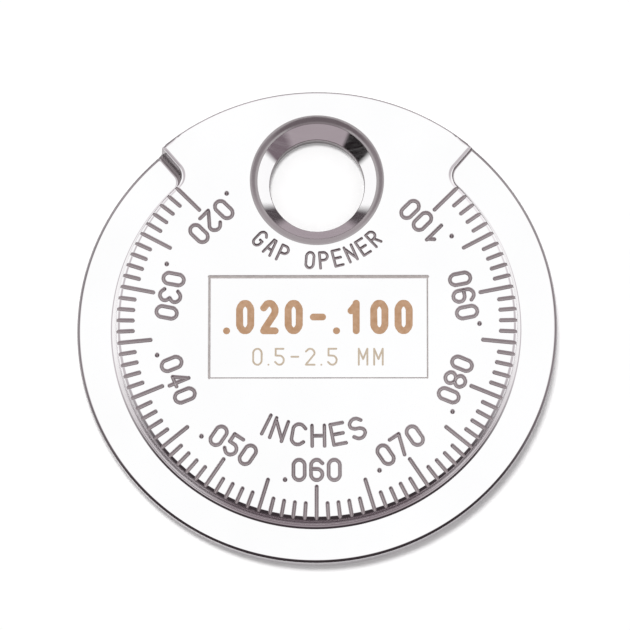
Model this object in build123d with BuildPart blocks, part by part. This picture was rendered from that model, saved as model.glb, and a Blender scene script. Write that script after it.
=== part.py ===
from build123d import *
from math import atan2, cos, degrees, radians, sin
import os

os.makedirs("parts", exist_ok=True)

# A coin-shaped spark plug gap gauge, die-cast in one piece and chrome plated.
# It lies on its flat back. The origin is the centre of the back, +Z is the dial side,
# and angles run counter-clockwise from +X. All sizes are in millimetres.

# Disc
inch = 25.4
disc_diameter = 42.0
dial_rise = 0.46
dial_edge_chamfer = 0.3
back_edge_chamfer = 0.13

# Ramp: the measuring rim, whose thickness is the gap that the scale names
gap_first = 0.020 * inch
gap_last = 0.100 * inch
gap_division = 0.001 * inch
scale_start_angle = 135.0
scale_sweep = 270.0
ramp_width = 3.5
ramp_overrun = 4.6
ramp_corner_radius = 1.3
ramp_edge_chamfer = 0.17

# Hole: the lip that bends a plug's electrode, a cone above a short straight wall
hole_wall_diameter = 8.3
hole_mouth_diameter = 11.0
hole_wall_height = 1.0
hole_margin = 2.5
hole_lip_rounding = 0.5

# Depth of the marks, numbers and words, which are grooves with straight walls
groove_depth = 0.25

# Scale marks, which run out through the dial's edge
mark_width = 0.36
mark_end_chamfer = 0.11
mark_runout = 0.3
long_mark_length = 3.1
short_mark_length = 1.6
divisions_per_long_mark = 5
divisions_per_number = 10

# Numbers inside the marks
number_gap = 0.25
digit_height = 2.15
digit_width = 1.34
digit_pitch = 1.53
digit_stroke = 0.34
point_size = 0.4
point_lead = 1.22

# Word below the dial's centre, which names the scale's unit
unit_word = "INCHES"
unit_word_gap = 0.9
unit_word_turn = -1.1
unit_letter_height = 2.15
unit_letter_width = 1.4
unit_letter_gap = 0.34
unit_stroke = 0.32

# Word beside the hole, which names its use
opener_word = "GAP OPENER"
opener_word_gap = 0.95
opener_letter_height = 1.65
opener_letter_width = 0.92
opener_letter_gap = 0.3
opener_stroke = 0.24

# Ruled frame in the middle of the dial
frame_gap = 0.65
frame_width = 19.05
frame_height = 9.1
frame_shift = 0.14
frame_line_width = 0.2
frame_line_depth = 0.06

# Worked out from the sizes above
disc_radius = disc_diameter / 2
dial_radius = disc_radius - ramp_width
dial_height = gap_last + dial_rise
ramp_start_angle = scale_start_angle - ramp_overrun
ramp_sweep = scale_sweep + 2 * ramp_overrun
ramp_pitch = (gap_last - gap_first) * 360 / scale_sweep
ramp_start_height = gap_first - ramp_pitch * ramp_overrun / 360
hole_y = disc_radius - hole_margin - hole_mouth_diameter / 2
hole_cone_angle = 2 * degrees(
    atan2((hole_mouth_diameter - hole_wall_diameter) / 2, dial_height - hole_wall_height)
)
division_count = round((gap_last - gap_first) / gap_division)
division_angle = scale_sweep / division_count
number_radius = dial_radius - long_mark_length - number_gap - digit_height / 2
unit_radius = number_radius - digit_height / 2 - unit_word_gap - unit_letter_height / 2
opener_radius = hole_mouth_diameter / 2 + opener_word_gap + opener_letter_height / 2
frame_y = hole_y - opener_radius - opener_letter_height / 2 - frame_gap - frame_height / 2


# Glyphs
# Each is drawn with straight strokes, from corner to corner of a box that reaches from -1 to 1
# both ways. A bowl's corners are cut between top_end along its top and side_end up its side.
top_end = 0.4
side_end = 0.66
over_top = [(1, side_end), (top_end, 1), (-top_end, 1), (-1, side_end)]
under_foot = [(-1, -side_end), (-top_end, -1), (top_end, -1), (1, -side_end)]
upper_bowl = [(top_end, 0), (1, 0.3), *over_top, (-1, 0.3), (-top_end, 0)]


def turned(path):
    """The same path turned upside down."""
    return [(-x, -y) for x, y in path]


ring = [(1, 0), *over_top, *under_foot, (1, 0)]
upper_ring = [(0, 0), *upper_bowl, (0, 0)]
six = [*over_top, *under_foot, (1, -0.2), (top_end, 0.1), (-0.8, 0.1)]
post = [(-1, -1), (-1, 1)]
bow = [(-0.9, 1), (top_end, 1), (1, side_end), (1, 0.3), (top_end, 0), (-0.8, 0)]
glyph_paths = {
    "0": [ring],
    "1": [[(0.2, -1), (0.2, 1)], [(-0.7, 0.45), (0, 0.8)]],
    "2": [[*over_top[::-1], (1, 0.3), (-0.85, -0.85)], [(-1, -1), (1, -1)]],
    "3": [[*over_top[::-1], (1, 0.3), (top_end, 0), (1, -0.3), *under_foot[::-1]]],
    "4": [[(0.4, -1), (0.4, 1)], [(0.25, 0.8), (-0.85, -0.4), (1, -0.4)]],
    "5": [[(0.9, 1), (-0.9, 1), (-0.9, 0.15), (top_end, 0.15), (1, -0.2), *under_foot[::-1]]],
    "6": [six],
    "7": [[(-1, 1), (0.9, 1), (-0.3, -1)]],
    "8": [upper_ring, turned(upper_ring)],
    "9": [turned(six)],
    "A": [[(-1, -1), (-0.3, 1), (0.3, 1), (1, -1)], [(-0.6, -0.3), (0.6, -0.3)]],
    "C": [[*over_top, *under_foot]],
    "E": [[(1, 1), (-1, 1), (-1, -1), (1, -1)], [(-0.8, 0), (0.8, 0)]],
    "G": [[*over_top, *under_foot, (1, -0.1), (0.3, -0.1)]],
    "H": [post, turned(post), [(-0.8, 0), (0.8, 0)]],
    "I": [[(0, -1), (0, 1)]],
    "N": [post, turned(post), [(-0.85, 0.75), (0.85, -0.75)]],
    "O": [ring],
    "P": [post, bow],
    "R": [post, bow, [(0.05, -0.1), (0.85, -0.9)]],
    "S": [[*over_top, (-1, 0.3), (-top_end, 0), (top_end, 0), (1, -0.3), *under_foot[::-1]]],
}


def glyph_face(character, width, height, stroke_width):
    """One character that measures width by height overall. Its strokes have square ends."""
    half_width = (width - stroke_width) / 2
    half_height = (height - stroke_width) / 2
    with BuildSketch() as glyph:
        for path in glyph_paths[character]:
            corners = [Vector(x * half_width, y * half_height) for x, y in path]
            first_end = (corners[0] - corners[1]).normalized() * stroke_width / 2
            last_end = (corners[-1] - corners[-2]).normalized() * stroke_width / 2
            with BuildLine() as centre_line:
                Polyline(corners[0] + first_end, *corners[1:-1], corners[-1] + last_end)
            trace(centre_line.line, stroke_width)
    return glyph.sketch


def number_face(text):
    """A decimal fraction of an inch: a point, then its digits about the origin."""
    first_x = -digit_pitch * (len(text) - 1) / 2
    with BuildSketch() as number:
        for place, digit in enumerate(text):
            with Locations((first_x + place * digit_pitch, 0)):
                add(digit_faces[digit])
        with Locations((first_x - point_lead, (point_size - digit_height) / 2)):
            Rectangle(point_size, point_size)
    return number.sketch


def mark_face(length):
    """A mark that runs up the Y axis from the origin, with the corners of its far end cut."""
    with BuildSketch() as mark:
        with Locations((0, length / 2)):
            Rectangle(mark_width, length)
        chamfer(mark.vertices().group_by(Axis.Y)[-1], mark_end_chamfer)
    return mark.sketch


def polar(radius, angle):
    """A place on a circle about the origin, with its X axis along the circle and Y inwards."""
    x = radius * cos(radians(angle))
    y = radius * sin(radians(angle))
    return Location((x, y, 0), angle + 90)


def word_face(word, radius, width, height, gap, stroke_width):
    """A word on the lower side of a circle, read from the circle's centre outwards."""
    widths = [stroke_width if letter == "I" else width for letter in word]
    length = sum(widths) + gap * (len(word) - 1)
    with BuildSketch() as written:
        reach = -length / 2
        for letter, letter_width in zip(word, widths):
            if letter != " ":
                angle = 270 + degrees((reach + letter_width / 2) / radius)
                with Locations(polar(radius, angle)):
                    add(glyph_face(letter, width, height, stroke_width))
            reach += letter_width + gap
    return written.sketch


digit_faces = {
    digit: glyph_face(digit, digit_width, digit_height, digit_stroke) for digit in "0123456789"
}
unit_face = word_face(
    unit_word, unit_radius, unit_letter_width, unit_letter_height, unit_letter_gap, unit_stroke
)
opener_face = word_face(
    opener_word,
    opener_radius,
    opener_letter_width,
    opener_letter_height,
    opener_letter_gap,
    opener_stroke,
)
short_mark = mark_face(short_mark_length + mark_runout)
long_mark = mark_face(long_mark_length + mark_runout)
mark_places = [
    polar(dial_radius + mark_runout, scale_start_angle + division * division_angle)
    for division in range(division_count + 1)
]

# Room above the ramp: a sector of a ring, whose floor climbs evenly with the angle

with BuildPart() as above_ramp:
    inner_helix = Edge.make_helix(
        ramp_pitch, ramp_pitch * ramp_sweep / 360, dial_radius / 2, (0, 0, ramp_start_height)
    )
    outer_helix = Edge.make_helix(
        ramp_pitch, ramp_pitch * ramp_sweep / 360, disc_radius * 2, (0, 0, ramp_start_height)
    )
    ramp_floor = Face.make_surface_from_curves(inner_helix, outer_helix)
    extrude(ramp_floor.rotate(Axis.Z, ramp_start_angle), amount=dial_height, dir=(0, 0, 1))

with BuildPart() as ramp_room:
    with BuildSketch() as ramp_plan:
        with BuildLine():
            dial_side = CenterArc((0, 0), dial_radius, ramp_start_angle, ramp_sweep)
            far_side = CenterArc((0, 0), disc_radius + ramp_width, ramp_start_angle, ramp_sweep)
            Line(dial_side @ 0, far_side @ 0)
            Line(dial_side @ 1, far_side @ 1)
        make_face()
        fillet(ramp_plan.vertices().group_by(SortBy.DISTANCE)[0], ramp_corner_radius)
    extrude(amount=dial_height * 2)
    add(above_ramp.part, mode=Mode.INTERSECT)

# Disc

with BuildPart() as gauge_disc:
    # The cylinder's seam lies under the full-height sector, clear of the ramp
    Cylinder(
        disc_radius,
        dial_height,
        rotation=(0, 0, 90),
        align=(Align.CENTER, Align.CENTER, Align.MIN),
    )
    add(ramp_room.part, mode=Mode.SUBTRACT)
    dial_edges = gauge_disc.edges().group_by(Axis.Z)[-1]
    chamfer(dial_edges, dial_edge_chamfer)
    ramp_edge = gauge_disc.edges().filter_by(GeomType.BSPLINE).sort_by(SortBy.LENGTH)[-1]
    chamfer(ramp_edge, ramp_edge_chamfer)
    back_edges = gauge_disc.edges().group_by(Axis.Z)[0]
    chamfer(back_edges, back_edge_chamfer)

    with Locations((0, hole_y, dial_height)):
        CounterSinkHole(
            hole_wall_diameter / 2,
            hole_mouth_diameter / 2,
            counter_sink_angle=hole_cone_angle,
        )
    hole_lip = gauge_disc.faces().sort_by(Axis.Z)[-1].inner_wires()[0]
    fillet(hole_lip.edges(), hole_lip_rounding)

    # Scale marks, numbers and words. A long mark covers the short one at its place.
    with BuildSketch(Plane.XY.offset(dial_height)):
        with Locations(mark_places):
            add(short_mark)
        with Locations(mark_places[::divisions_per_long_mark]):
            add(long_mark)
        for division in range(0, division_count + 1, divisions_per_number):
            thousandths = round((gap_first / gap_division) + division)
            with Locations(polar(number_radius, scale_start_angle + division * division_angle)):
                add(number_face(f"{thousandths:03d}"))
        add(unit_face, rotation=unit_word_turn)
        with Locations((0, hole_y)):
            add(opener_face)
    extrude(amount=-groove_depth, mode=Mode.SUBTRACT)

    # Ruled frame
    with BuildSketch(Plane.XY.offset(dial_height)):
        with Locations((frame_shift, frame_y)):
            Rectangle(frame_width + frame_line_width, frame_height + frame_line_width)
            Rectangle(
                frame_width - frame_line_width,
                frame_height - frame_line_width,
                mode=Mode.SUBTRACT,
            )
    extrude(amount=-frame_line_depth, mode=Mode.SUBTRACT)

gauge_disc.part.label = "gauge_disc"
export_step(gauge_disc.part, "parts/gauge_disc.step")
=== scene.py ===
from copy import copy
from math import asin, atan, cos, degrees, pi, radians, sin, sqrt, tan

import bpy
import numpy as np
from mathutils import Matrix, Vector
from mathutils.geometry import delaunay_2d_cdt


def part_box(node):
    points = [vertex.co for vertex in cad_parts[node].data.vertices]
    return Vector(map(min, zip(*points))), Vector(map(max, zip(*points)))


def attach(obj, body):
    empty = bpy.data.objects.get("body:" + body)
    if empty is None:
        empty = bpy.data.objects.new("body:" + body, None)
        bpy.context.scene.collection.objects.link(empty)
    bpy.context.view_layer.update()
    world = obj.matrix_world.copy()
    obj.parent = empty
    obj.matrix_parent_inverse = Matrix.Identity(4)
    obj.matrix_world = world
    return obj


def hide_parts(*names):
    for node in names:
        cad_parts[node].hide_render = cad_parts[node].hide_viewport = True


# A coin-shaped spark plug gap gauge, chrome plated, that lies on a white floor.
# Sizes are in millimetres and angles in degrees, as on the solid, until a mesh is made of them.

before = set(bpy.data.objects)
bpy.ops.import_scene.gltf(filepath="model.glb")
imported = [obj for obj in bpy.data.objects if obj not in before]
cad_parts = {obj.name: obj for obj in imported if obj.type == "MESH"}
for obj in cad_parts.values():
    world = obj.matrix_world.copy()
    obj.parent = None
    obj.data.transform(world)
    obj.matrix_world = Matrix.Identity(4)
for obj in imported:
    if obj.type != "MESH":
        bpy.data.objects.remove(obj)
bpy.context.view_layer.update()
mm = 0.001
up = np.array((0.0, 0.0, 1.0))

# Disc and ramp
inch = 25.4
disc_radius = 21.0
dial_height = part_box("gauge_disc")[1].z / mm
gap_first = 0.020 * inch
gap_last = 0.100 * inch
scale_start = 135.0
scale_sweep = 270.0
ramp_overrun = 4.6
ramp_width = 3.5
corner_radius = 1.3

# Roundings and draft. The dial's edge narrows to the rim's own, which it has from a distance off the
# ramp's end walls. An edge turns by less than a right angle. The root that rounds the wall's foot
# takes at most a share of the wall's height.
dial_edge_radius = 0.9
rim_edge_radius = 0.4
rim_edge_start = 2
ramp_edge_radius = 0.75
edge_turn = 28
ramp_root_radius = 0.55
root_height_share = 0.6
back_edge_radius = 0.15
wall_draft = 3.0

# Hole
hole_y = 13.0
hole_wall_radius = 4.15
hole_mouth_radius = 5.5
hole_wall_height = 1.0
hole_lip_radius = 0.95
hole_throat_radius = 0.35
hole_foot_radius = 0.1

# Scale marks
division_count = 80
mark_width = 0.36
mark_runout = 0.3
long_mark_length = 3.1
short_mark_length = 1.6
divisions_per_long_mark = 5

# Numbers and words. A letter is its width and height, the gap after it and its stroke.
groove_depth = 0.25
first_number = 20
divisions_per_number = 10
number_radius = 13.075
digit_height = 2.15
digit_width = 1.34
digit_pitch = 1.53
digit_stroke = 0.34
point_size = 0.42
point_lead = 1.22
unit_word = "INCHES"
unit_radius = 10.025
unit_turn = -1.1
unit_letter = (1.4, 2.15, 0.34, 0.32)
opener_word = "GAP OPENER"
opener_radius = 7.275
opener_letter = (0.92, 1.65, 0.3, 0.24)

# Ruled frame, whose lines are listed from the lower one counter-clockwise, and the range printed in
# it. A line of print has a place from the dial's centre, and a size: its characters' width and
# height, the gap between them and their stroke.
frame_centre = (0.14, -0.3)
frame_width = 19.05
frame_height = 9.1
frame_line_widths = (0.1, 0.15, 0.34, 0.24)
frame_line_depth = 0.06
print_thickness = 0.005
inch_range = ".020–.100"
inch_range_place = (0.1, 0.62)
inch_range_size = (1.62, 3.1, 0.5, 0.62)
metric_range = "0.5–2.5 MM"
metric_range_place = (0.1, -2.95)
metric_range_size = (0.92, 1.6, 0.42, 0.17)

# How finely the surfaces are drawn: steps along lines, and turns, shares or counts of rows between them
circle_step = 0.42
rim_step = 0.5
corner_step = 0.15
end_wall_points = 8
edge_steps = 5
root_turns = (30, 50, 66, 84, 90)
ramp_row_shares = (0.3, 0.6)
back_edge_turns = (0, 30, 60, 90)
hole_sides = 180
bend_rings = 8

# A point nearer to an edge than snap lies on it, and points nearer to each other than weld are one.
# Points of the wall's foot that lie further outside the dial's circle than by_radius_beyond are put
# in order by radius.
snap = 0.004
weld = 1e-6
by_radius_beyond = 0.3

# Where the finish changes to one that carries painted shade: at a turn of an edge, a share of the root and
# a depth of a groove.
# The normals of edge and groove blend over a depth of their own.
wall_edge_turn = 10.5
rim_edge_turn = 15
root_finish_share = 0.55
groove_finish_depth = 0.02
groove_blend_depth = 0.04

# The cone's normals lean by less than its slope, and by more on its upper side, which sets its sheen
cone_lean = 32.5
cone_lean_swing = 7

# Worked out from the sizes above
dial_radius = disc_radius - ramp_width
division_angle = scale_sweep / division_count
ramp_start = scale_start - ramp_overrun
rise_per_degree = (gap_last - gap_first) / scale_sweep
edge_foot_height = dial_height - dial_edge_radius * (1 - cos(radians(edge_turn)))
corner_along = sqrt((dial_radius + corner_radius) ** 2 - corner_radius**2)
corner_angle = degrees(asin(corner_radius / (dial_radius + corner_radius)))
cone_slope = degrees(atan((dial_height - hole_wall_height) / (hole_mouth_radius - hole_wall_radius)))
lip_outer_radius = hole_mouth_radius + hole_lip_radius * tan(radians(cone_slope / 2))
edge_sine = sin(radians(edge_turn))
edge_rows = [edge_sine - sin(radians(edge_turn * step / edge_steps)) for step in range(edge_steps)]


class Finish:
    """The places of the gauge's finishes in its list of materials."""

    # groove, throat, lip, rim and rim_edge are plating darkened as painted shade; wall, edge and rim_edge
    # also darken towards -Y as painted shade
    polished, turned, groove, paint, wall, rim, throat, lip, edge, rim_edge = range(10)


# Glyphs, drawn as on the solid: strokes from corner to corner of a box that reaches from -1 to 1
top_end = 0.4
side_end = 0.66
over_top = [(1, side_end), (top_end, 1), (-top_end, 1), (-1, side_end)]
under_foot = [(-1, -side_end), (-top_end, -1), (top_end, -1), (1, -side_end)]
upper_bowl = [(top_end, 0), (1, 0.3), *over_top, (-1, 0.3), (-top_end, 0)]


def upside_down(path):
    """The same path, half a turn round."""
    return [(-x, -y) for x, y in path]


ring = [(1, 0), *over_top, *under_foot, (1, 0)]
upper_ring = [(0, 0), *upper_bowl, (0, 0)]
six = [*over_top, *under_foot, (1, -0.2), (top_end, 0.1), (-0.8, 0.1)]
post = [(-1, -1), (-1, 1)]
bow = [(-0.9, 1), (top_end, 1), (1, side_end), (1, 0.3), (top_end, 0), (-0.8, 0)]
glyph_paths = {
    "0": [ring],
    "1": [[(0.2, -1), (0.2, 1)], [(-0.7, 0.45), (0, 0.8)]],
    "2": [[*over_top[::-1], (1, 0.3), (-0.85, -0.85)], [(-1, -1), (1, -1)]],
    "3": [[*over_top[::-1], (1, 0.3), (top_end, 0), (1, -0.3), *under_foot[::-1]]],
    "4": [[(0.4, -1), (0.4, 1)], [(0.25, 0.8), (-0.85, -0.4), (1, -0.4)]],
    "5": [[(0.9, 1), (-0.9, 1), (-0.9, 0.15), (top_end, 0.15), (1, -0.2), *under_foot[::-1]]],
    "6": [six],
    "7": [[(-1, 1), (0.9, 1), (-0.3, -1)]],
    "8": [upper_ring, upside_down(upper_ring)],
    "9": [upside_down(six)],
    "A": [[(-1, -1), (-0.3, 1), (0.3, 1), (1, -1)], [(-0.6, -0.3), (0.6, -0.3)]],
    "C": [[*over_top, *under_foot]],
    "E": [[(1, 1), (-1, 1), (-1, -1), (1, -1)], [(-0.8, 0), (0.8, 0)]],
    "G": [[*over_top, *under_foot, (1, -0.1), (0.3, -0.1)]],
    "H": [post, upside_down(post), [(-0.8, 0), (0.8, 0)]],
    "I": [[(0, -1), (0, 1)]],
    "M": [[(-1, -1), (-1, 1), (0, -0.3), (1, 1), (1, -1)]],
    "N": [post, upside_down(post), [(-0.85, 0.75), (0.85, -0.75)]],
    "O": [ring],
    "P": [post, bow],
    "R": [post, bow, [(0.05, -0.1), (0.85, -0.9)]],
    "S": [[*over_top, (-1, 0.3), (-top_end, 0), (top_end, 0), (1, -0.3), *under_foot[::-1]]],
    ".": [[(0, -1), (0, -1)]],
    "–": [[(-0.8, 0), (0.8, 0)]],
}
narrow_glyphs = "I."
sharp_turn = 60
bend_shares = (0, 0.25, 0.5, 0.75, 1)


def softened(corners):
    """A path's corners as a run of points, with its gentle bends drawn round."""
    points = [corners[0]]
    for before, corner, after in zip(corners, corners[1:], corners[2:]):
        arriving = corner - before
        leaving = after - corner
        if abs(arriving.angle_signed(leaving)) > radians(sharp_turn):
            points.append(corner)
            continue
        reach = min(arriving.length, leaving.length) / 2
        start = corner - arriving.normalized() * reach
        end = corner + leaving.normalized() * reach
        for t in bend_shares:
            points.append(start * (1 - t) ** 2 + corner * 2 * t * (1 - t) + end * t**2)
    points.append(corners[-1])
    return points


def glyph_runs(character, width, height, stroke):
    """The straight runs that a round cutter follows to draw one character about the origin."""
    half_width = (width - stroke) / 2
    half_height = (height - stroke) / 2
    runs = []
    for path in glyph_paths[character]:
        points = softened([Vector((x * half_width, y * half_height)) for x, y in path])
        runs += list(zip(points, points[1:]))
    return np.array(runs)


# Grooves


def nearest(points, runs):
    """For each point, its distance from the nearest run, and the way that leads off that run."""
    starts = runs[:, 0]
    spans = runs[:, 1] - starts
    offsets = points[:, None] - starts
    squares = np.maximum((spans**2).sum(-1), 1e-12)
    shares = np.clip((offsets * spans).sum(-1) / squares, 0, 1)
    away = offsets - shares[..., None] * spans
    distances = np.linalg.norm(away, axis=-1)
    best = distances.argmin(1)
    rows = np.arange(len(points))
    distance = distances[rows, best]
    return distance, away[rows, best] / np.maximum(distance, 1e-9)[:, None]


def level_lines(field, level):
    """The closed lines on which a grid of values passes a level, measured in grid steps."""
    below = field < level
    count = below[:-1, :-1] * 1 + below[1:, :-1] + below[:-1, 1:] + below[1:, 1:]
    links = {}
    for i, j in np.argwhere((count > 0) & (count < 4)).tolist():
        corners = [(i, j), (i + 1, j), (i + 1, j + 1), (i, j + 1)]
        sides = zip(corners, corners[1:] + corners[:1])
        crossed = [tuple(sorted(side)) for side in sides if below[side[0]] != below[side[1]]]
        for one, other in zip(crossed[::2], crossed[1::2]):
            links.setdefault(one, []).append(other)
            links.setdefault(other, []).append(one)
    lines = []
    while links:
        line = []
        side = next(iter(links))
        while side:
            start, end = np.array(side[0]), np.array(side[1])
            share = (level - field[side[0]]) / (field[side[1]] - field[side[0]])
            line.append(start + (end - start) * share)
            side = next((other for other in links.pop(side) if other in links), None)
        lines.append(np.array(line))
    return lines


def thinned(line, turn=10):
    """A closed line with only the points at which it has turned, and its first point again at the end."""
    kept = [line[0]]
    for here, following in zip(line[1:-1], line[2:]):
        along = here - kept[-1]
        ahead = following - here
        bend = abs(np.arctan2(along[0] * ahead[1] - along[1] * ahead[0], along @ ahead))
        if bend > radians(turn):
            kept.append(here)
    return np.array([*kept, line[0]])


class Groove:
    """A groove with rounded floor and lips, that a cutter leaves along its runs."""

    # A groove reaches to a share of its width on either side, and is level with the dial past a share
    # of that reach. The mesh follows lines at its rows, which are shares of the reach too.
    reach_share = 0.6
    level_share = 0.94
    rows = (0.2, 0.35, 0.5, 0.65, 0.8, 1)

    # Steps of the grid on which the lines are found, and uneven margins that keep the grid off the runs
    coarsest_step = 0.03
    steps_across = 8
    low_margin = 3.37
    high_margin = 3

    def __init__(self, runs, width, depth=groove_depth, finish=Finish.groove):
        self.runs = runs
        self.depth = depth
        self.finish = finish
        self.reach = self.reach_share * width
        self.grid_step = min(self.coarsest_step, width / self.steps_across)
        # The mesh follows each run, and a run of no length is a lone point
        self.lines = [run if (run[0] != run[1]).any() else run[:1] for run in runs]

    def lines_at(self, shares):
        """Closed lines round the runs, at shares of the groove's reach."""
        low = self.runs.min((0, 1)) - self.reach - self.low_margin * self.grid_step
        high = self.runs.max((0, 1)) + self.reach + self.high_margin * self.grid_step
        axes = [np.arange(low[k], high[k], self.grid_step) for k in (0, 1)]
        grid = np.stack(np.meshgrid(*axes, indexing="ij"), -1)
        field = nearest(grid.reshape(-1, 2), self.runs)[0].reshape(grid.shape[:2])
        lines = []
        for share in shares:
            for line in level_lines(field, share * self.reach):
                lines.append(low + thinned(line) * self.grid_step)
        return lines

    def drawn(self):
        """The groove with lines of even depth, for the mesh to follow."""
        self.lines += self.lines_at(self.rows)
        return self

    def placed(self, angle, centre):
        """The same groove, turned by an angle and moved."""
        c, s = cos(radians(angle)), sin(radians(angle))
        turn = np.array(((c, s), (-s, c)))
        moved = copy(self)
        moved.runs = self.runs @ turn + centre
        moved.lines = [line @ turn + centre for line in self.lines]
        return moved

    def cut(self, points):
        """The depth at each point, and how the depth changes along X and Y."""
        distance, away = nearest(points, self.runs)
        share = np.clip(distance / self.reach, 0, 1)
        share[share > self.level_share] = 1
        depth = self.depth * (1 - share**2 * (3 - 2 * share))
        slope = -6 * self.depth * share * (1 - share) / self.reach
        return depth, slope[:, None] * away


def polar(radius, angle):
    """A place on a circle about the origin: how far what stands there is turned, and where it is."""
    place = np.array((cos(radians(angle)), sin(radians(angle))))
    return angle + 90, radius * place


def mark_grooves():
    """The scale's marks, which run out through the dial's edge."""
    marks = {}
    for length in (long_mark_length, short_mark_length):
        inner_end = mark_runout + length - mark_width / 2
        marks[length] = Groove(np.array([[(0, 0), (0, inner_end)]]), mark_width).drawn()
    grooves = []
    for division in range(division_count + 1):
        is_long = division % divisions_per_long_mark == 0
        mark = marks[long_mark_length if is_long else short_mark_length]
        angle = scale_start + division * division_angle
        grooves.append(mark.placed(*polar(dial_radius + mark_runout, angle)))
    return grooves


def number_grooves():
    """The scale's numbers, each with its point in front."""
    digits = {}
    for digit in "0123456789":
        runs = glyph_runs(digit, digit_width, digit_height, digit_stroke)
        digits[digit] = Groove(runs, digit_stroke).drawn()
    point = Groove(np.zeros((1, 2, 2)), point_size).drawn()
    grooves = []
    for division in range(0, division_count + 1, divisions_per_number):
        turn, centre = polar(number_radius, scale_start + division * division_angle)
        text = f"{first_number + division:03d}"
        first_x = -digit_pitch * (len(text) - 1) / 2
        parts = [(digits[digit], first_x + k * digit_pitch, 0) for k, digit in enumerate(text)]
        parts.append((point, first_x - point_lead, (point_size - digit_height) / 2))
        for part, x, y in parts:
            grooves.append(part.placed(0, (x, y)).placed(turn, centre))
    return grooves


def word_grooves(word, radius, turn, centre, width, height, gap, stroke):
    """A word on the lower side of a circle about a centre, read from that centre outwards."""
    widths = [stroke if letter in narrow_glyphs else width for letter in word]
    reach = -(sum(widths) + gap * (len(word) - 1)) / 2
    grooves = []
    for letter, letter_width in zip(word, widths):
        if letter != " ":
            angle = 270 + turn + degrees((reach + letter_width / 2) / radius)
            groove = Groove(glyph_runs(letter, letter_width, height, stroke), stroke).drawn()
            grooves.append(groove.placed(*polar(radius, angle)).placed(0, centre))
        reach += letter_width + gap
    return grooves


def frame_grooves():
    """The four sides of the ruled frame, filled with paint."""
    half = np.array((frame_width, frame_height)) / 2
    corners = [half * way for way in ((-1, -1), (1, -1), (1, 1), (-1, 1), (-1, -1))]
    grooves = []
    for side, width in zip(zip(corners, corners[1:]), frame_line_widths):
        ruled = Groove(np.array([side]), width, frame_line_depth, Finish.paint).drawn()
        grooves.append(ruled.placed(0, frame_centre))
    return grooves


def all_grooves():
    """Every groove in the dial, in its place."""
    grooves = mark_grooves() + number_grooves()
    grooves += word_grooves(unit_word, unit_radius, unit_turn, (0, 0), *unit_letter)
    grooves += word_grooves(opener_word, opener_radius, 0, (0, hole_y), *opener_letter)
    return grooves + frame_grooves()


# The dial's outline, seen from above. Its left half is described, and the right half mirrors it.


def beside_wall(along, across):
    """A point measured outwards along the ramp's first end wall, and across it onto the ramp."""
    way = np.array((cos(radians(ramp_start)), sin(radians(ramp_start))))
    return np.outer(along, way) + np.outer(across, (-way[1], way[0]))


def arc(radius, start, end, step):
    """Points on a circle about the origin, about a step apart."""
    count = max(2, round(abs(radians(end - start)) * radius / step) + 1)
    angles = np.radians(np.linspace(start, end, count))
    return radius * np.stack((np.cos(angles), np.sin(angles)), -1)


def dial_outline(inset):
    """The dial's outline moved inwards, as a closed line."""
    rim = disc_radius - inset
    rim_arc = arc(rim, 90, ramp_start - degrees(asin(inset / rim)), rim_step)
    along = np.linspace(sqrt(rim**2 - inset**2), corner_along, end_wall_points)
    line = beside_wall(along, -inset)
    centre = beside_wall(corner_along, corner_radius)
    bend = arc(corner_radius + inset, ramp_start - 90, ramp_start - 180 + corner_angle, corner_step)
    circle = arc(dial_radius - inset, ramp_start + corner_angle, 270, circle_step)
    left = np.round(np.concatenate((rim_arc, line[1:], centre + bend[1:], circle[1:])), 6)
    return np.concatenate((left, (left * (-1, 1))[-2::-1]))


def wall_inset(points):
    """How far each point lies inside the wall that rises from the ramp; below zero on the ramp."""
    x, y = -np.abs(points[:, 0]), points[:, 1]
    way = (cos(radians(ramp_start)), sin(radians(ramp_start)))
    along = x * way[0] + y * way[1]
    across = y * way[0] - x * way[1]
    inset = np.maximum(-across, dial_radius - np.hypot(x, y))
    at_corner = (along < corner_along) & (across < along * tan(radians(corner_angle)))
    return np.where(
        at_corner & (along > 0),
        np.hypot(along - corner_along, across - corner_radius) - corner_radius,
        inset,
    )


def edge_inset(points):
    """How far each point lies inside the dial's whole outline."""
    return np.minimum(wall_inset(points), disc_radius - np.hypot(*points.T))


def gradient(measure, points, step=1e-4):
    """How a measure of points changes along X and Y."""
    changes = []
    for shift in ((step, 0), (0, step)):
        changes.append((measure(points + shift) - measure(points - shift)) / (2 * step))
    return np.stack(changes, -1)


# Patches of surface. Each is its points, their normals and its faces, and some give a finish for
# each face. The line or the points where a patch meets the next one come after it.


def unit(vectors):
    """The same vectors with a length of 1."""
    return vectors / np.linalg.norm(vectors, axis=-1)[:, None]


def lifted(flat, height):
    """Points of the plan at a height."""
    return np.column_stack((flat, np.broadcast_to(height, len(flat))))


def turns_from(start, points):
    """How far round the disc each point is from a start, counter-clockwise."""
    return (np.degrees(np.arctan2(points[:, 1], points[:, 0])) - start) % 360


def triangulated(lines, keep):
    """The plan between lines as points and triangles. keep says which triangles stay, by their middles."""
    points = []
    edges = []
    for line in lines:
        edges += [(len(points) + k, len(points) + k + 1) for k in range(len(line) - 1)]
        points += [Vector(point) for point in line]
    found = delaunay_2d_cdt(points, edges, [], 0, weld)
    flat = np.array(found[0])
    faces = np.array(found[2])
    faces = faces[keep(flat[faces].mean(1))]
    used, faces = np.unique(faces, return_inverse=True)
    return flat[used], faces.reshape(-1, 3)


def strip(rows, closed=False):
    """Faces between rows of as many points each. A row is its points and their normals."""
    count = len(rows[0][0])
    points = np.concatenate([row[0] for row in rows])
    normals = np.concatenate([row[1] for row in rows])
    faces = []
    for row in range(len(rows) - 1):
        for k in range(count if closed else count - 1):
            a, b = row * count + k, row * count + (k + 1) % count
            faces.append((a, b, b + count, a + count))
    return points, normals, faces


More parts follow.
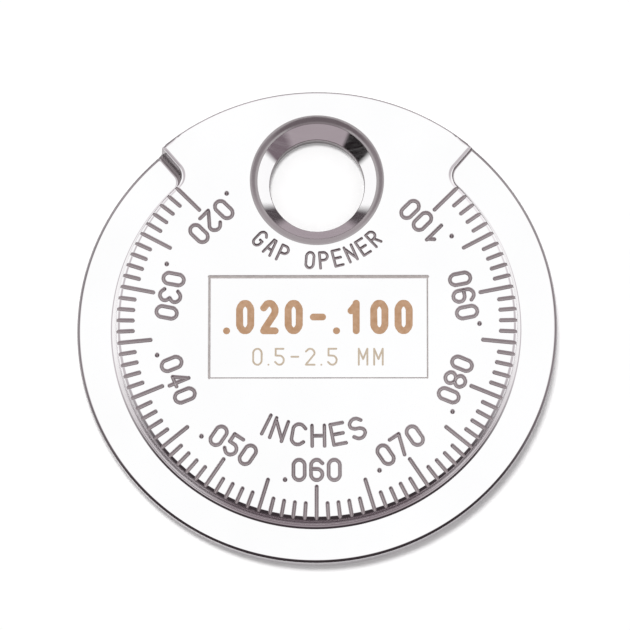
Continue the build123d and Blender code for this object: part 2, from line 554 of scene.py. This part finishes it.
def edge_radius(flat):
    """The radius of the dial's edge: it narrows along the rim, away from the ramp's ends."""
    radii = (dial_edge_radius, rim_edge_radius)
    return np.interp(wall_inset(flat), (dial_edge_radius, rim_edge_start), radii)


def sink(inset, radius, foot_sine=1):
    """How far a rounded edge has dropped, and the sine of its turn, which ends at foot_sine."""
    turn = np.clip(foot_sine - inset / radius, 0, 1)
    return radius * (1 - np.sqrt(1 - turn**2)), turn


def dial_plan(grooves):
    """The dial's plan as points and triangles that follow its edge, the hole and the grooves."""
    lines = [dial_outline(0)]
    lines += [dial_outline(dial_edge_radius * row) for row in edge_rows]
    lines.append(arc(lip_outer_radius, 0, 360, 2 * pi * lip_outer_radius / hole_sides) + (0, hole_y))
    for groove in grooves:
        lines += groove.lines
    return triangulated(
        lines,
        lambda middles: (edge_inset(middles) > 0)
        & (np.hypot(middles[:, 0], middles[:, 1] - hole_y) > lip_outer_radius),
    )


def carved(flat, grooves):
    """At each point of the plan: the deepest groove's depth, how it changes, and its finish."""
    depth = np.zeros(len(flat))
    slope = np.zeros((len(flat), 2))
    finish = np.full(len(flat), Finish.polished)
    for groove in grooves:
        low = groove.runs.min((0, 1)) - groove.reach
        high = groove.runs.max((0, 1)) + groove.reach
        near = np.flatnonzero(((flat > low) & (flat < high)).all(1))
        if len(near):
            found, change = groove.cut(flat[near])
            deeper = found > depth[near]
            depth[near[deeper]] = found[deeper]
            slope[near[deeper]] = change[deeper]
            finish[near[deeper]] = groove.finish
    return depth, slope, finish


def edge_places(sines, finish, start):
    """The polished finish, or an edge's own, which carries painted shade, where it has turned past a start,
    by the turns' sines.
    """
    return np.where(sines > sin(radians(start)), finish, Finish.polished)


def dial_patch(grooves):
    """The dial's face with its grooves and rounded edge, and which points lie on its outline."""
    flat, faces = dial_plan(grooves)
    inset = edge_inset(flat)
    inset[inset < snap] = 0
    drop, turn = sink(inset, edge_radius(flat), edge_sine)
    outwards = -gradient(edge_inset, flat)
    rounded = turn[:, None] * lifted(outwards, 0) + np.sqrt(1 - turn**2)[:, None] * up
    depth, slope, finish = carved(flat, grooves)
    share = np.clip((depth - drop) / groove_blend_depth + 0.5, 0, 1)[:, None]
    share[depth == 0] = 0
    normals = unit(rounded * (1 - share) + unit(lifted(slope, 1)) * share)
    points = lifted(flat, dial_height - np.maximum(drop, depth))

    at_rim = (disc_radius - np.hypot(*flat.T) < wall_inset(flat))[faces].all(1)
    sines = turn[faces].mean(1)
    # Edges past a turn take the edge finishes, which carry painted shade
    places = np.where(
        at_rim,
        edge_places(sines, Finish.rim_edge, rim_edge_turn),
        edge_places(sines, Finish.edge, wall_edge_turn),
    )
    # Inside a groove the face takes the groove's finish: plating darkened as painted shade, or the frame's
    # paint
    in_groove = (depth - drop)[faces].mean(1) > groove_finish_depth
    places = np.where(in_groove, finish[faces].max(1), places)
    return points, normals, faces, places, inset == 0


def ramp_levels(flat):
    """At each point of the plan: the ramp's height, its root's radius and the wall's lean."""
    level = gap_first + (turns_from(90, flat) + 90 - scale_start) * rise_per_degree
    room = edge_foot_height - level
    root = np.minimum(ramp_root_radius, root_height_share * room)
    return level, root, (room - root) * tan(radians(wall_draft))


def wall_patch(foot):
    """The wall between the dial's edge and the ramp, and the line where it meets the ramp."""
    outwards = -gradient(wall_inset, foot)
    level, root, lean = ramp_levels(foot)
    normals = lifted(outwards * cos(radians(wall_draft)), sin(radians(wall_draft)))
    base = foot + outwards * lean[:, None]
    rows = [(lifted(foot, edge_foot_height), normals), (lifted(base, level + root), normals)]
    return strip(rows[::-1]), base


def ramp_plan(base):
    """The ramp's plan as points and triangles, from the line where the wall meets it to the rim."""
    outwards = -gradient(wall_inset, base)
    root = ramp_levels(base)[1]
    start = degrees(np.arctan2(base[0, 1], base[0, 0]))
    lines = [base]
    for turn in root_turns:
        lines.append(base + outwards * (root * (1 - cos(radians(turn))))[:, None])
    rim = arc(disc_radius, start, 540 - start, circle_step)
    lines += [rim * (1 - ramp_edge_radius * row / disc_radius) for row in edge_rows]
    lines.append(np.concatenate(([base[0]], rim[1:-1], [base[-1]])))
    lines += [rim * (1 - share * ramp_width / disc_radius) for share in ramp_row_shares]
    return triangulated(lines, lambda middles: -wall_inset(middles) > ramp_levels(middles)[2])


def ramp_patch(base):
    """The ramp's surface with its root and rounded outer edge, and which points lie on the rim."""
    flat, faces = ramp_plan(base)
    level, root, lean = ramp_levels(flat)
    outwards = -gradient(wall_inset, flat)
    radius = np.hypot(*flat.T)
    rim_way = flat / radius[:, None]
    past_root = -wall_inset(flat) - lean
    past_root[past_root < snap] = 0
    climb, climb_turn = sink(past_root, root)
    inset = disc_radius - radius
    inset[inset < snap] = 0
    drop, drop_turn = sink(inset, ramp_edge_radius, edge_sine)
    uphill = np.column_stack((-rim_way[:, 1], rim_way[:, 0]))
    tilt = (degrees(rise_per_degree) / radius)[:, None] * uphill
    flatness = np.sqrt(1 - drop_turn**2) * np.sqrt(1 - climb_turn**2)
    across = outwards * climb_turn[:, None] + rim_way * drop_turn[:, None] - tilt * flatness[:, None]
    normals = unit(lifted(across, np.maximum(flatness, sin(radians(wall_draft)))))
    edge_start = sin(radians(wall_edge_turn))
    places = np.full(len(faces), Finish.polished)
    # The root's turned part and the outer rounding take the edge finishes, which carry painted shade
    places[climb_turn[faces].mean(1) > edge_start] = Finish.edge
    places[drop_turn[faces].mean(1) > edge_start] = Finish.rim_edge
    # The root's inner part takes the wall's finish, whose painted shade darkens this corner towards -Y
    places[(past_root / root)[faces].mean(1) < root_finish_share] = Finish.wall
    return lifted(flat, level + climb - drop), normals, faces, places, inset == 0


def rim_patch(top):
    """The rim below a row of points, and the line where it meets the back."""
    outwards = unit(top[:, :2])
    rows = [(top, lifted(outwards, 0))]
    for turn in back_edge_turns:
        c, s = cos(radians(turn)), sin(radians(turn))
        flat = outwards * (disc_radius - back_edge_radius * (1 - c))
        rows.append((lifted(flat, back_edge_radius * (1 - s)), lifted(outwards * c, -s)))
    return strip(rows[::-1]), rows[-1][0][:, :2]


def hole_bends():
    """The hole's three roundings: each one's centre, by radius and height, its radius and its two turns."""
    throat_height = hole_wall_height - hole_throat_radius * tan(radians(90 - cone_slope) / 2)
    return [
        (lip_outer_radius, dial_height - hole_lip_radius, hole_lip_radius, 0, cone_slope),
        (hole_wall_radius + hole_throat_radius, throat_height, hole_throat_radius, cone_slope, 90),
        (hole_wall_radius + hole_foot_radius, hole_foot_radius, hole_foot_radius, 90, 180),
    ]


def hole_lean(turn, cone):
    """How far the hole's normals lean, in radians, where its section has turned so far from level.

    On the cone they lean by the angles given for it.
    """
    if turn > 90:
        return np.full(hole_sides, radians(turn))
    lean = np.radians(np.interp(turn, (0, cone_slope), (0, 1)) * cone)
    if turn > cone_slope:
        lean += radians(turn - cone_slope) * (90 - cone) / (90 - cone_slope)
    return lean


def hole_patch():
    """The hole's lip, cone, straight wall and foot, and the line where it meets the back."""
    angles = np.radians(np.arange(hole_sides) * 360 / hole_sides)
    ways = np.stack((np.cos(angles), np.sin(angles)), -1)
    cone = cone_lean + cone_lean_swing * ways[:, 1]
    rows = []
    for radius, height, bend, start, end in hole_bends():
        for turn in np.linspace(start, end, bend_rings + 1):
            lean = hole_lean(turn, cone)
            flat = ways * (radius - bend * sin(radians(turn))) + (0, hole_y)
            normals = lifted(-ways * np.sin(lean)[:, None], np.cos(lean))
            rows.append((lifted(flat, height + bend * cos(radians(turn))), normals))
    places = np.repeat(hole_places(), hole_sides)
    return (*strip(rows, closed=True), places), rows[-1][0][:, :2]


def hole_places():
    """The finish of each ring of faces, from the lip to the foot."""
    # The lip's rings past the first take its darker finish of painted shade
    lip = [Finish.polished] + [Finish.lip] * (bend_rings - 1)
    cone = [Finish.turned]
    # The throat's darker finish of painted shade goes on down the straight wall, to the first ring of the
    # foot
    throat = [Finish.throat] * (bend_rings + 2)
    foot = [Finish.turned] * (bend_rings - 1)
    return lip + cone + throat + foot


def back_patch(rim_line, hole_line):
    """The flat back."""
    flat, faces = triangulated(
        [rim_line, np.concatenate((hole_line, hole_line[:1]))],
        lambda middles: np.hypot(middles[:, 0], middles[:, 1] - hole_y)
        > hole_wall_radius + hole_foot_radius / 2,
    )
    return lifted(flat, 0), np.tile(-up, (len(flat), 1)), faces[:, ::-1]


def by_turn(start, points):
    """Points in order round the disc, counter-clockwise from a start."""
    return points[np.argsort(turns_from(start, points))]


def along_wall(points):
    """Points of the wall's foot in order, from one end of the ramp to the other.

    They go by angle round the dial, and by radius along the end walls and most of their corners.
    """
    radii = np.hypot(*points[:, :2].T)
    turns = turns_from(90, points)
    at_end = radii > dial_radius + by_radius_beyond
    return points[np.lexsort((turns, np.where(turns < 180, -radii, radii) * at_end))]


def mesh_object(name, patches, materials):
    """One object of several patches. Each patch is its points, normals, faces and material's place."""
    points = []
    normals = []
    faces = []
    places = []
    first = 0
    for patch_points, patch_normals, patch_faces, place in patches:
        points.append(patch_points)
        normals.append(patch_normals)
        faces += [tuple(int(k) + first for k in face) for face in patch_faces]
        places += np.broadcast_to(place, len(patch_faces)).tolist()
        first += len(patch_points)
    mesh = bpy.data.meshes.new(name)
    mesh.from_pydata((np.concatenate(points) * mm).tolist(), [], faces)
    for material in materials:
        mesh.materials.append(material)
    mesh.polygons.foreach_set("material_index", places)
    mesh.polygons.foreach_set("use_smooth", [True] * len(faces))
    mesh.normals_split_custom_set_from_vertices(np.concatenate(normals).tolist())
    body = bpy.data.objects.new(name, mesh)
    bpy.context.scene.collection.objects.link(body)
    return body


def build_gauge(materials):
    """The whole gauge as one piece."""
    *dial, on_edge = dial_patch(all_grooves())
    edge = dial[0][on_edge]
    at_rim = np.hypot(*edge[:, :2].T) > disc_radius - snap
    foot = along_wall(edge[~at_rim | (wall_inset(edge[:, :2]) < snap)])[:, :2]
    wall, base = wall_patch(foot)
    *ramp, at_ramp_rim = ramp_patch(base)
    sector_rim, sector_foot = rim_patch(by_turn(0, edge[at_rim]))
    ramp_rim, ramp_foot = rim_patch(by_turn(90, ramp[0][at_ramp_rim]))
    hole, hole_foot = hole_patch()
    left = sector_foot[sector_foot[:, 0] <= 0]
    right = sector_foot[sector_foot[:, 0] > 0]
    back = back_patch(np.concatenate((left, ramp_foot, right, left[:1])), hole_foot)
    patches = [
        dial,
        (*wall, Finish.wall),
        ramp,
        (*sector_rim, Finish.rim),
        (*ramp_rim, Finish.rim),
        hole,
        (*back, Finish.turned),
    ]
    return mesh_object("gauge_body", patches, materials)


# Ink


def print_patches(text, place, width, height, gap, stroke):
    """A line of print about a place, as thin shapes on the dial."""
    widths = [stroke if character in narrow_glyphs else width for character in text]
    reach = -(sum(widths) + gap * (len(text) - 1)) / 2
    patches = []
    for character, glyph_width in zip(text, widths):
        if character != " ":
            centre = np.array((reach + glyph_width / 2, 0)) + place
            patches += ink_shape(glyph_runs(character, glyph_width, height, stroke) + centre, stroke / 2)
        reach += glyph_width + gap
    return patches


def ink_shape(runs, reach):
    """The shape that lies within reach of some runs, with its top and its thin edge."""
    lines = Groove(runs, reach / Groove.reach_share).lines_at((1,))
    flat, faces = triangulated(lines, lambda middles: nearest(middles, runs)[0] < reach)
    top = dial_height + print_thickness
    patches = [(lifted(flat, top), np.tile(up, (len(flat), 1)), faces, 0)]
    for line in lines:
        outwards = lifted(nearest(line, runs)[1], 0)
        rows = [(lifted(line, height), outwards) for height in (dial_height, top)]
        patches.append((*strip(rows), 0))
    return patches


def build_print(name, text, place, size, ink):
    """A line of print as one piece."""
    printed = mesh_object(name, print_patches(text, place, *size), [ink])
    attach(printed, "root")


# Camera. The dial's centre stands off the middle of the picture by a shift in pixels.

image_pixels = 630
pixels_per_mm = 11.452
camera_tilt = 14.0
camera_azimuth = 271.64
camera_roll = 1.64
camera_distance = 700.0
sensor_width = 36
aim_shift = (-1.8, 8.9)


def camera_directions():
    """The ways that the camera's right, up and back point."""
    tilt = radians(camera_tilt)
    azimuth = radians(camera_azimuth)
    roll = radians(camera_roll)
    back = Vector((sin(tilt) * cos(azimuth), sin(tilt) * sin(azimuth), cos(tilt)))
    level = Vector((cos(roll), sin(roll), 0))
    across = back.cross(level)
    right = level * cos(roll) - across * sin(roll)
    above = level * sin(roll) + across * cos(roll)
    return right, above, back


def build_camera():
    """The camera, placed and turned as the photograph was taken."""
    right, above, back = camera_directions()
    aim = Vector((0, 0, dial_height))
    aim += right * aim_shift[0] / pixels_per_mm + above * aim_shift[1] / pixels_per_mm
    camera = bpy.data.cameras.new("camera")
    camera.sensor_width = sensor_width
    camera.lens = sensor_width * camera_distance * pixels_per_mm / image_pixels
    body = bpy.data.objects.new("camera", camera)
    turn = Matrix((right, above, back)).transposed().to_4x4()
    body.matrix_world = Matrix.Translation((aim + back * camera_distance) * mm) @ turn
    bpy.context.scene.collection.objects.link(body)
    bpy.context.scene.camera = body


# Shader nodes


def node(tree, kind, *inputs, **settings):
    """A shader node, with its inputs set in order from sockets or from values."""
    made = tree.nodes.new("ShaderNode" + kind)
    for name, value in settings.items():
        setattr(made, name, value)
    for socket, value in zip(made.inputs, inputs):
        if isinstance(value, bpy.types.NodeSocket):
            tree.links.new(value, socket)
        elif value is not None:
            socket.default_value = value
    return made


def calculate(tree, operation, *values):
    """The result of a Math node."""
    return node(tree, "Math", *values, operation=operation).outputs[0]


def angle_by(tree, operation, *values):
    """The angle in degrees that an inverse function of a Math node gives."""
    return calculate(tree, "DEGREES", calculate(tree, operation, *values))


def share_between(tree, value, start, end):
    """A share that goes evenly from 0 to 1 as a value goes from start to end."""
    return node(tree, "MapRange", value, start, end, 0, 1).outputs[0]


def blend(tree, share, first, second):
    """Two colours mixed by a share."""
    made = node(tree, "Mix", data_type="RGBA")
    sockets = (made.inputs[0], made.inputs[6], made.inputs[7])
    for socket, value in zip(sockets, (share, first, second)):
        if isinstance(value, bpy.types.NodeSocket):
            tree.links.new(value, socket)
        else:
            socket.default_value = value
    return made.outputs[2]


def colour_ramp(tree, share, places, colours):
    """The colour that a ramp of colours at places has at a share."""
    made = node(tree, "ValToRGB", share)
    elements = made.color_ramp.elements
    elements.remove(elements[1])
    elements[0].position = places[0]
    for place in places[1:]:
        elements.new(place)
    for element, colour in zip(elements, colours):
        element.color = (*colour, 1)
    return made.outputs["Color"]


def surface(name):
    """A material with a plain Principled shader, its tree and that shader."""
    material = bpy.data.materials.new(name)
    material.use_nodes = True
    tree = material.node_tree
    shader = tree.nodes["Principled BSDF"]
    return material, tree, shader


def noise(tree, place, scale, detail):
    """Even noise of some ripples per unit of a place's measure."""
    made = node(tree, "TexNoise", place)
    made.inputs["Scale"].default_value = scale
    made.inputs["Detail"].default_value = detail
    return made.outputs["Fac"]


# Materials. Noise lies mostly within a span. Where it is even in space it is given in ripples per
# metre, and streaks are given by their spacing along each axis. Details are counts of octaves.

noise_span = (0.3, 0.7)
clouds_per_metre = 140
cloud_detail = 5
streak_detail = 3
brushed = (3, 0.15, 3)
cast = (0.25, 0.25, 4)
ink_grain_per_metre = 2500
ink_detail = 4
ink_span = (0.35, 0.65)
ink_roughness = 0.6
floor_grain_per_metre = 900
floor_detail = 2
floor_tones = ((0.94, 0.94, 0.94), (0.96, 0.96, 0.96))
floor_roughness = 0.9
floor_glow = 0.09


def chrome_material(name, tones, roughness, grain, relief, painted_shades=()):
    """Plating that clouds between two tones, with streaks of a grain and of a height, the relief.

    A painted shade is another, darker tone that stands in for dark surroundings reflected in the chrome,
    and the two turns between which it sets in.
    """
    material, tree, shader = surface(name)
    shader.inputs["Metallic"].default_value = 1
    place = node(tree, "TexCoord").outputs["Object"]
    cloud = noise(tree, place, clouds_per_metre, cloud_detail)
    tone = colour_ramp(tree, cloud, noise_span, tones)
    # Painted shade: darker tones blended in by where a face lies round the disc
    for shade, turns in painted_shades:
        tone = blend(tree, painted_shade_share(tree, place, turns), tone, (*shade, 1))
    tree.links.new(tone, shader.inputs["Base Color"])
    stretched = node(tree, "Mapping", place)
    stretched.inputs["Scale"].default_value = [1 / (spacing * mm) for spacing in grain]
    streaks = noise(tree, stretched.outputs[0], 1, streak_detail)
    gloss = node(tree, "MapRange", streaks, *noise_span, *roughness)
    tree.links.new(gloss.outputs[0], shader.inputs["Roughness"])
    bump = node(tree, "Bump")
    bump.inputs["Strength"].default_value = 1
    bump.inputs["Distance"].default_value = relief * mm
    tree.links.new(streaks, bump.inputs["Height"])
    tree.links.new(bump.outputs["Normal"], shader.inputs["Normal"])
    return material


def painted_shade_share(tree, place, turns):
    """A share of painted shade that goes from 0 to 1 between two turns, either way round the disc from -Y.
    """
    x, y, _ = node(tree, "SeparateXYZ", place).outputs
    sideways = angle_by(tree, "ARCTAN2", x, calculate(tree, "MULTIPLY", y, -1))
    return share_between(tree, calculate(tree, "ABSOLUTE", sideways), *turns)


def ink_material(name, thin, full):
    """Matte ink that is a little thinner in places."""
    material, tree, shader = surface(name)
    place = node(tree, "TexCoord").outputs["Object"]
    grain = noise(tree, place, ink_grain_per_metre, ink_detail)
    tone = colour_ramp(tree, grain, ink_span, (thin, full))
    tree.links.new(tone, shader.inputs["Base Color"])
    shader.inputs["Roughness"].default_value = ink_roughness
    return material


def floor_material():
    """White paper that keeps the shadow, and that the camera and the chrome see as white."""
    material, tree, shader = surface("floor_white")
    rays = node(tree, "LightPath").outputs
    seen = calculate(tree, "MAXIMUM", rays["Is Camera Ray"], rays["Is Glossy Ray"])
    seen = calculate(tree, "MAXIMUM", seen, rays["Is Transmission Ray"])
    glow = calculate(tree, "MULTIPLY", seen, floor_glow)
    place = node(tree, "TexCoord").outputs["Object"]
    grain = noise(tree, place, floor_grain_per_metre, floor_detail)
    tone = colour_ramp(tree, grain, noise_span, floor_tones)
    tree.links.new(tone, shader.inputs["Base Color"])
    shader.inputs["Roughness"].default_value = floor_roughness
    shader.inputs["Specular IOR Level"].default_value = 0
    shader.inputs["Emission Color"].default_value = (1, 1, 1, 1)
    tree.links.new(glow, shader.inputs["Emission Strength"])
    return material


# The surroundings. The chrome reflects bands by height. A band is a list of directions round the
# horizon, counter-clockwise from +X, with their colours. A white card overhead stands over them.

world_level = 0.35
white = (1.03, 1.03, 1.03)
pale_purple = (0.58, 0.54, 0.56)
purple_grey = (0.38, 0.325, 0.35)
corner_grey = (0.17, 0.13, 0.15)
corner_dark = (0.08, 0.065, 0.072)
corner_black = (0.012, 0.009, 0.010)
edge_grey = (0.36, 0.32, 0.34)
pale_grey = (0.88, 0.84, 0.86)
low_band = [
    (0, white),
    (222, white),
    (236, purple_grey),
    (304, purple_grey),
    (318, white),
]
cone_band = [
    (0, white),
    (37, white),
    (45, corner_dark),
    (56, corner_dark),
    (63, purple_grey),
    (117, purple_grey),
    (124, corner_dark),
    (132, corner_dark),
    (141, white),
    (190, white),
    (197, corner_black),
    (226, corner_black),
    (231, purple_grey),
    (306, purple_grey),
    (316, corner_grey),
    (340, corner_grey),
    (347, white),
]
high_band = [
    (0, white),
    (44, white),
    (56, pale_grey),
    (124, pale_grey),
    (136, white),
    (226, white),
    (242, pale_purple),
    (298, pale_purple),
    (314, white),
]
top_band = [
    (0, pale_purple),
    (30, pale_purple),
    (50, pale_grey),
    (112, pale_grey),
    (130, pale_purple),
    (186, pale_purple),
    (204, edge_grey),
    (325, edge_grey),
    (342, pale_purple),
]

# Heights between which each band takes over from the one below it, and the lowest from pale purple
low_heights = (-2, 3)
cone_heights = (20, 22)
high_heights = (27.2, 29.2)
top_heights = (42, 50)

# Where the card sets in: at its sides by a direction's X, and at its front and back by the angle
# from -Y over the top
card_half_width = (0.32, 0.24)
card_front = (82, 86)
card_back = (121, 117)


def band_colour(tree, around, band):
    """A band's colour in a direction round the horizon."""
    places, colours = zip(*band)
    return colour_ramp(tree, around, [place / 360 for place in places], colours)


def bands_colour(tree, x, y, height):
    """The colour of the bands in a direction and at a height."""
    around = calculate(tree, "FLOORED_MODULO", angle_by(tree, "ARCTAN2", y, x), 360)
    around = calculate(tree, "DIVIDE", around, 360)
    colour = band_colour(tree, around, low_band)
    for band, heights in ((cone_band, cone_heights), (high_band, high_heights), (top_band, top_heights)):
        share = share_between(tree, height, *heights)
        colour = blend(tree, share, colour, band_colour(tree, around, band))
    return colour


def card_share(tree, x, y, z):
    """A share that is 1 in the directions of the card."""
    over = angle_by(tree, "ARCTAN2", z, calculate(tree, "MULTIPLY", y, -1))
    share = share_between(tree, calculate(tree, "ABSOLUTE", x), *card_half_width)
    share = calculate(tree, "MULTIPLY", share, share_between(tree, over, *card_front))
    return calculate(tree, "MULTIPLY", share, share_between(tree, over, *card_back))


def build_world():
    """Surroundings that the chrome reflects, that light the rest plainly and that look white."""
    world = bpy.data.worlds.new("studio")
    bpy.context.scene.world = world
    world.use_nodes = True
    tree = world.node_tree
    tree.nodes.clear()
    direction = node(tree, "TexCoord").outputs["Generated"]
    x, y, z = node(tree, "SeparateXYZ", direction).outputs
    height = angle_by(tree, "ARCSINE", z)
    colour = bands_colour(tree, x, y, height)
    colour = blend(tree, card_share(tree, x, y, z), colour, (*white, 1))
    colour = blend(tree, share_between(tree, height, *low_heights), (*pale_purple, 1), colour)
    rays = node(tree, "LightPath").outputs
    reflected = node(tree, "Background", colour, 1).outputs[0]
    background = node(tree, "Background", (1, 1, 1, 1), 1).outputs[0]
    plain = node(tree, "Background", (1, 1, 1, 1), world_level).outputs[0]
    lit = node(tree, "MixShader", rays["Is Glossy Ray"], plain, reflected).outputs[0]
    seen = node(tree, "MixShader", rays["Is Camera Ray"], lit, background).outputs[0]
    node(tree, "OutputWorld", seen)


# The lamp, which shines from a direction, and the floor, whose reach is in metres

lamp_level = 2.04
lamp_spread = 16
lamp_direction = (-0.07, 0.24, 1)
floor_reach = 1.5
floor_drop = 0.01


def build_lamp():
    """A large soft lamp from the upper left, that throws the shadow to the lower right."""
    lamp = bpy.data.lights.new("key", "SUN")
    lamp.energy = lamp_level
    lamp.angle = radians(lamp_spread)
    lamp_object = bpy.data.objects.new("key", lamp)
    lamp_object.rotation_euler = Vector(lamp_direction).to_track_quat("Z", "Y").to_euler()
    lamp_object.visible_glossy = False
    bpy.context.scene.collection.objects.link(lamp_object)


def build_floor():
    """A plain white floor, a hair below the gauge's back."""
    mesh = bpy.data.meshes.new("floor")
    ways = ((-1, -1), (1, -1), (1, 1), (-1, 1))
    corners = [(x * floor_reach, y * floor_reach, 0) for x, y in ways]
    mesh.from_pydata(corners, [], [(0, 1, 2, 3)])
    mesh.materials.append(floor_material())
    floor = bpy.data.objects.new("floor", mesh)
    floor.location.z = -floor_drop * mm
    bpy.context.scene.collection.objects.link(floor)


# The gauge's finishes. A painted shade is a darker tone that stands in for dark surroundings reflected
# in the chrome, and the turns from -Y, at the dial's foot, between which it sets in.

# Painted shade on the rounded edges towards -Y, standing in for the dark surroundings reflected there
painted_foot_shade = ((0.11, 0.095, 0.102), (76, 50))
# Painted shade on the wall and the root at its foot, towards -Y
painted_wall_foot_shade = ((0.56, 0.52, 0.54), (84, 56))
# Painted shade on the ramp's end walls: a dark patch at the notches
painted_end_wall_shade = ((0.22, 0.19, 0.20), (129, 137))


def gauge_materials():
    """The gauge's materials, in the order of their places."""
    materials = {
        Finish.polished: chrome_material(
            "chrome_polished",
            tones=[(0.95, 0.95, 0.955), (0.97, 0.97, 0.975)],
            roughness=(0.02, 0.05),
            grain=brushed,
            relief=0.0002,
        ),
        Finish.turned: chrome_material(
            "chrome_turned",
            tones=[(0.93, 0.92, 0.93), (0.96, 0.95, 0.96)],
            roughness=(0.05, 0.1),
            grain=brushed,
            relief=0.0005,
        ),
        # The grooves: plating darkened as painted shade in the recesses
        Finish.groove: chrome_material(
            "chrome_groove_painted_shade",
            tones=[(0.48, 0.44, 0.45), (0.58, 0.54, 0.55)],
            roughness=(0.1, 0.16),
            grain=brushed,
            relief=0.0002,
        ),
        Finish.paint: ink_material("paint_grey", (0.50, 0.46, 0.45), (0.43, 0.39, 0.38)),
        # The wall: cast plating, with painted shade towards -Y and at the end walls
        Finish.wall: chrome_material(
            "chrome_cast_painted_shade",
            tones=[(0.86, 0.84, 0.85), (0.93, 0.91, 0.92)],
            roughness=(0.1, 0.2),
            grain=cast,
            relief=0.003,
            painted_shades=[painted_wall_foot_shade, painted_end_wall_shade],
        ),
        # The rim: duller cast plating, darkened further as painted shade
        Finish.rim: chrome_material(
            "chrome_rim",
            tones=[(0.74, 0.71, 0.73), (0.84, 0.81, 0.83)],
            roughness=(0.04, 0.12),
            grain=cast,
            relief=0.005,
        ),
        # The hole's throat and straight wall: plating darkened as painted shade in the hole
        Finish.throat: chrome_material(
            "chrome_throat_painted_shade",
            tones=[(0.24, 0.21, 0.22), (0.32, 0.29, 0.30)],
            roughness=(0.2, 0.3),
            grain=cast,
            relief=0.01,
        ),
        # The hole's rounded lip: rough cast plating, darkened as painted shade into a dark ring round the
        # mouth
        Finish.lip: chrome_material(
            "chrome_lip_painted_shade",
            tones=[(0.34, 0.31, 0.32), (0.42, 0.39, 0.40)],
            roughness=(0.12, 0.2),
            grain=cast,
            relief=0.003,
        ),
        # The rounded edges of the dial and of the ramp's root, with painted shade towards -Y
        Finish.edge: chrome_material(
            "chrome_edge_painted_shade",
            tones=[(0.94, 0.93, 0.94), (0.97, 0.96, 0.97)],
            roughness=(0.03, 0.08),
            grain=cast,
            relief=0.002,
            painted_shades=[painted_foot_shade],
        ),
        # The rounded edge along the rim: plating darkened as painted shade for a dark outline, darker still
        # towards -Y
        Finish.rim_edge: chrome_material(
            "chrome_rim_edge_painted_shade",
            tones=[(0.30, 0.28, 0.29), (0.40, 0.37, 0.38)],
            roughness=(0.03, 0.08),
            grain=cast,
            relief=0.002,
            painted_shades=[painted_foot_shade],
        ),
    }
    return [materials[place] for place in sorted(materials)]


# The scene

bpy.context.scene.view_settings.view_transform = "Standard"
build_camera()
build_world()
build_lamp()
build_floor()

gauge = build_gauge(gauge_materials())
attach(gauge, "root")
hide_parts("gauge_disc")

dark_ink = ink_material("ink_brown", (0.56, 0.35, 0.22), (0.48, 0.28, 0.16))
pale_ink = ink_material("ink_tan", (0.62, 0.52, 0.41), (0.56, 0.46, 0.35))
build_print("inch_range", inch_range, inch_range_place, inch_range_size, dark_ink)
build_print("metric_range", metric_range, metric_range_place, metric_range_size, pale_ink)

bpy.context.view_layer.update()
